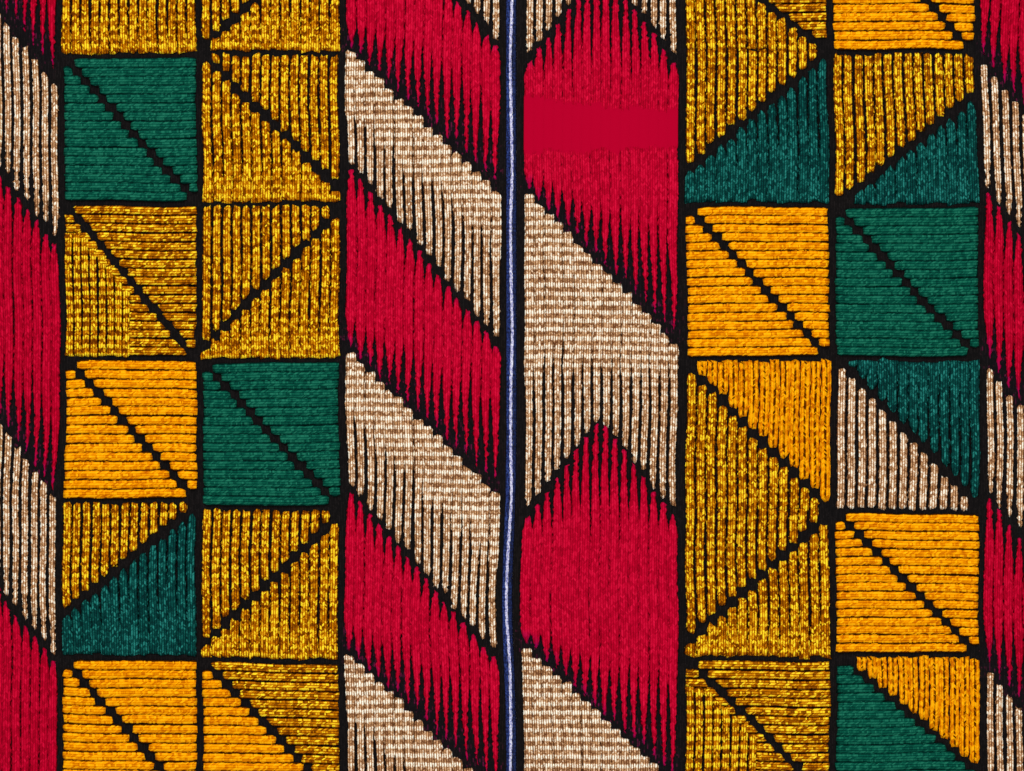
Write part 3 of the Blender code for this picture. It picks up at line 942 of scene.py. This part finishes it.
def ground_sheet(strip, material):
    """The ground cloth: a slab with a grid above and below, joined by walls. tip is a bell curve
    around the lower line of each red band."""
    start, width = strip_start(strip), strip_width(strip)
    across = np.linspace(start, start + width, round(width / GROUND_STEP) + 1)
    along = np.linspace(-HALF_LENGTH, HALF_LENGTH, round(2 * HALF_LENGTH / GROUND_STEP) + 1)
    x, y = np.meshgrid(across, along)
    weave = np.stack([x, y], axis=-1).reshape(-1, 2)
    tip = np.zeros_like(x)
    for name, kind, left, wide, _ in columns_of(strip):
        if kind != "zigzag":
            continue
        period, bands = ZIGZAGS[name]
        inside = (x >= left) & (x <= left + wide)
        off = y - VIOLET_ABOVE - height_of(bands["red"].lower, x, left, wide)
        off = (off + period / 2) % period - period / 2
        tip += inside * np.exp(-((off / VIOLET_REACH) ** 2))
    px, py = on_cloth(strip, x, y)
    top = np.stack([px, py, np.full_like(x, GROUND)], axis=-1).reshape(-1, 3)
    under = np.stack([px, py, np.full_like(x, UNDER)], axis=-1).reshape(-1, 3)
    rows, columns = x.shape
    index = np.arange(rows * columns).reshape(rows, columns)
    a, b, c, d = index[:-1, :-1], index[:-1, 1:], index[1:, 1:], index[1:, :-1]
    upper = np.stack([a, b, c, d], axis=-1).reshape(-1, 4)
    lower = upper[:, ::-1] + rows * columns
    rim = np.concatenate([index[0, :-1], index[:-1, -1], index[-1, :0:-1], index[:0:-1, 0]])
    onward = np.roll(rim, -1)
    walls = np.stack([rim + rows * columns, onward + rows * columns, onward, rim], axis=-1)
    faces = np.concatenate([upper, lower, walls]).tolist()
    facts = np.zeros((2 * rows * columns, len(FACTS)))
    facts[:, 0] = np.tile(tip.ravel(), 2)
    piece = new_piece("ground_" + strip, np.concatenate([top, under]), faces, np.tile(weave, (2, 1)), facts)
    piece.data.set_sharp_from_angle(angle=math.radians(50))
    piece.data.materials.append(material)
    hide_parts("strip_" + strip)
    return piece


def colours_in(column, kind):
    """The thread colours of a column, in the order in which they are listed."""
    if kind == "zigzag":
        return list(ZIGZAGS[column][1])
    found = [half.split()[0] for upper, _, lower in BLOCKS[column] for half in (upper, lower)]
    return list(dict.fromkeys(found))


def ribs_in(column, kind, start, width, count, colour, rng):
    maker = zigzag_ribs if kind == "zigzag" else block_ribs
    return maker(column, start, width, count, colour, rng)


def satin_at(x, y, rng):
    """1 inside the satin stretch, falling to 0 over a millimetre at each end. The ends slope across
    the column and are uneven from rib to rib."""
    left, wide = next(place[2:4] for place in columns_of("right") if place[0] == "inner_right")
    low, high = (np.interp(x, (left, left + wide), ends) + rng.normal(0, SATIN_UNEVEN) for ends in SATIN)
    return np.clip(np.minimum(y - low, high - y) + 0.5, 0.0, 1.0)


def face_floats(strip, materials):
    """One piece for each colour of each column, on the face of the cloth."""
    pieces = []
    for order, (column, kind, start, width, count) in enumerate(columns_of(strip)):
        if kind == "plain":
            continue
        for colour in colours_in(column, kind):
            rng = np.random.default_rng(100 * order + 7 * len(pieces) + (strip == "right"))
            ribs = ribs_in(column, kind, start, width, count, colour, rng)
            step = SMOOTH_STEP if colour in ("yellow", "green") else STEP
            satin = satin_at if (column, colour) == ("inner_right", "red") else None
            points, weave, facts, quads, caps = joined_ribs(strip, ribs, step, satin, rng)
            faces = quads.tolist() + caps.tolist()
            piece = new_piece(f"floats_{column}_{colour}", points, faces, weave, facts)
            piece.data.materials.append(materials[colour])
            pieces.append(piece)
    return pieces


def back_floats(strip, materials):
    """The floats of the back: the same ribs, coarser and flatter, under the ground cloth."""
    every, facing, slots = [], [], []
    total = 0
    colours = list(materials)
    for order, (column, kind, start, width, count) in enumerate(columns_of(strip)):
        if kind == "plain":
            continue
        for colour in colours_in(column, kind):
            rng = np.random.default_rng(900 + 10 * order + colours.index(colour))
            ribs = ribs_in(column, kind, start, width, count, colour, rng)
            points, weave, facts, quads, caps = joined_ribs(strip, ribs, BACK_STEP, None, rng)
            points[:, 2] = UNDER - (points[:, 2] - GROUND) * (UNDER - LOWEST) / TALLEST
            faces = (quads[:, ::-1] + total).tolist() + (caps[:, ::-1] + total).tolist()
            every.append((points, weave, facts))
            facing += faces
            slots += [colours.index(colour)] * len(faces)
            total += len(points)
    points, weave, facts = (np.concatenate(parts) for parts in zip(*every))
    piece = new_piece("back_floats_" + strip, points, facing, weave, facts)
    for colour in colours:
        piece.data.materials.append(materials[colour])
    piece.data.polygons.foreach_set("material_index", slots)
    return piece


def cord(name, x_of, height, form, material):
    """A cord along the warp: an oval, narrowed between its twisted plies and a little uneven, carried
    along the line x_of(y)."""
    short = HALF_LENGTH - CORD_SHORT
    along = np.arange(-short, short + form.step, form.step)[:, None]
    angle = -np.arange(form.sides)[None, :] * 2 * math.pi / form.sides
    ply = np.abs(np.cos(angle - along * 2 * math.pi / form.pitch))
    swell = 1.0 - form.depth * (1.0 - ply) ** 1.5
    swell = swell * (1.0 + 0.04 * np.sin(along / 1.7) + 0.03 * np.sin(along / 0.61))
    x = x_of(along) + form.wide * swell * np.cos(angle)
    z = height + form.high * swell * np.sin(angle)
    y = along + 0.0 * angle
    points = np.stack([x, y, z], axis=-1).reshape(-1, 3)
    weave = np.stack([-angle * form.wide + 0.0 * along, y], axis=-1).reshape(-1, 2)
    quads, caps = tube_faces(len(along), form.sides)
    piece = new_piece(name, points, quads[:, ::-1].tolist() + caps[:, ::-1].tolist(), weave)
    piece.data.materials.append(material)
    return piece


def make_cloth(strip, materials, black, blue):
    """One woven strip: its ground, its floats on both sides and its two selvedge cords."""
    side = 1.0 if strip == "right" else -1.0
    ground = ground_sheet(strip, black)
    pieces = face_floats(strip, materials)
    pieces.append(back_floats(strip, materials))
    far = side * (JOIN + strip_width(strip) - SELVEDGE.wide)
    lines = {
        "inner": lambda y: side * SELVEDGE_IN + ASIDE + lean_at(0.0, y),
        "outer": lambda y: far + lean_at(far, y),
    }
    for edge, line in lines.items():
        pieces.append(cord(f"selvedge_{strip}_{edge}", line, GROUND, SELVEDGE, blue))
    flat = (strip_width(strip) * MM, 2 * HALF_LENGTH * MM)


def make_camera():
    """Straight above the middle of the photograph's view, which is 167.6 mm wide."""
    view_width = 167.6
    middle_y = -4.83
    distance = 900.0
    data = bpy.data.cameras.new("camera")
    data.sensor_width = 36.0
    data.lens = data.sensor_width * (distance - CREST) / view_width
    camera = bpy.data.objects.new("camera", data)
    camera.location = (0.0, middle_y * MM, distance * MM)
    bpy.context.scene.collection.objects.link(camera)
    bpy.context.scene.camera = camera


def make_light(name, place, size, power):
    data = bpy.data.lights.new(name, "AREA")
    data.shape = "DISK"
    data.size = size
    data.energy = power
    lamp = bpy.data.objects.new(name, data)
    lamp.location = place
    x, y, z = place
    lamp.rotation_euler = (math.atan2(math.hypot(x, y), z), 0.0, math.atan2(y, x) + math.pi / 2)
    bpy.context.scene.collection.objects.link(lamp)


def make_studio():
    """A pale floor, an even pale surround, and two soft lamps."""
    half, low = 3.0, -0.0001
    corners = [(-half, -half, low), (half, -half, low), (half, half, low), (-half, half, low)]
    mesh = bpy.data.meshes.new("floor")
    mesh.from_pydata(corners, [], [(0, 1, 2, 3)])
    floor = bpy.data.objects.new("floor", mesh)
    bpy.context.scene.collection.objects.link(floor)
    material, _, shader = new_material("floor")
    shader["Base Color"].default_value = linear((226, 224, 220))
    shader["Roughness"].default_value = 0.8
    mesh.materials.append(material)
    world = bpy.data.worlds.new("studio")
    world.use_nodes = True
    sky = world.node_tree.nodes["Background"].inputs
    sky["Color"].default_value = (1.0, 1.0, 1.0, 1.0)
    sky["Strength"].default_value = 0.45
    bpy.context.scene.world = world
    make_light("key", (-0.25, 0.75, 0.80), 0.5, 9.0)
    make_light("fill", (0.5, -0.5, 0.9), 0.7, 4.0)
    bpy.context.scene.view_settings.view_transform = "Standard"


def yarn_line(y):
    """The joining yarn's own way along the join, a quarter of a millimetre to either side."""
    sway = 0.20 * np.sin((y + 31.0) / 4.5) + 0.05 * np.sin(y / 2.1)
    return ASIDE + lean_at(0.0, y) + sway * away_from_ends(y)


def main():
    make_camera()
    make_studio()
    groups = {"dashes": thread_dashes(), "tones": four_tones()}
    materials = {colour: thread_material(colour, groups) for colour in TONES}
    black = ground_material(groups)
    blue = {
        "left": cord_material("blue_selvedge", groups, BLUE, 0.5),
        "right": cord_material("navy_selvedge", groups, NAVY, 0.5),
    }
    pale = cord_material("pale_yarn", groups, PALE, 0.6)
    for strip in COLUMNS:
        make_cloth(strip, materials, black, blue[strip])
    yarn = cord("joining_yarn_twisted", yarn_line, YARN_HEIGHT, YARN, pale)
    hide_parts("joining_yarn")


main()
